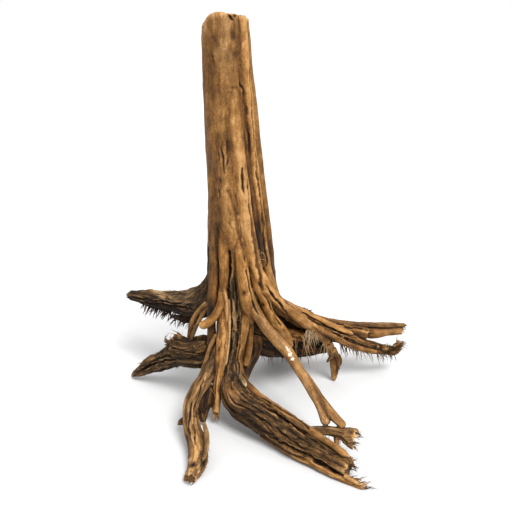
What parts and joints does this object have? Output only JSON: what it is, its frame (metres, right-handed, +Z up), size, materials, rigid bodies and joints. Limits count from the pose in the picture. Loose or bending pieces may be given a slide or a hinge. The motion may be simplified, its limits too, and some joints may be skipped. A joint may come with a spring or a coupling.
{
  "type": "decorative root",
  "caption": "Upright dried tree root for display: a sawn trunk of fused woody strands that stands on its own spreading, weathered roots.",
  "frame": {"origin": "on the floor, under the middle of the whole piece's box", "axes": "+Z up along the trunk, -Y towards the front as displayed, +X to the right seen from the front"},
  "size_m": [0.8204, 0.7216, 1.0076],
  "materials": {
    "wood": "dry, matt"
  },
  "bodies": {
    "root": {"root_wood": "wood"}
  },
  "joints": []
}
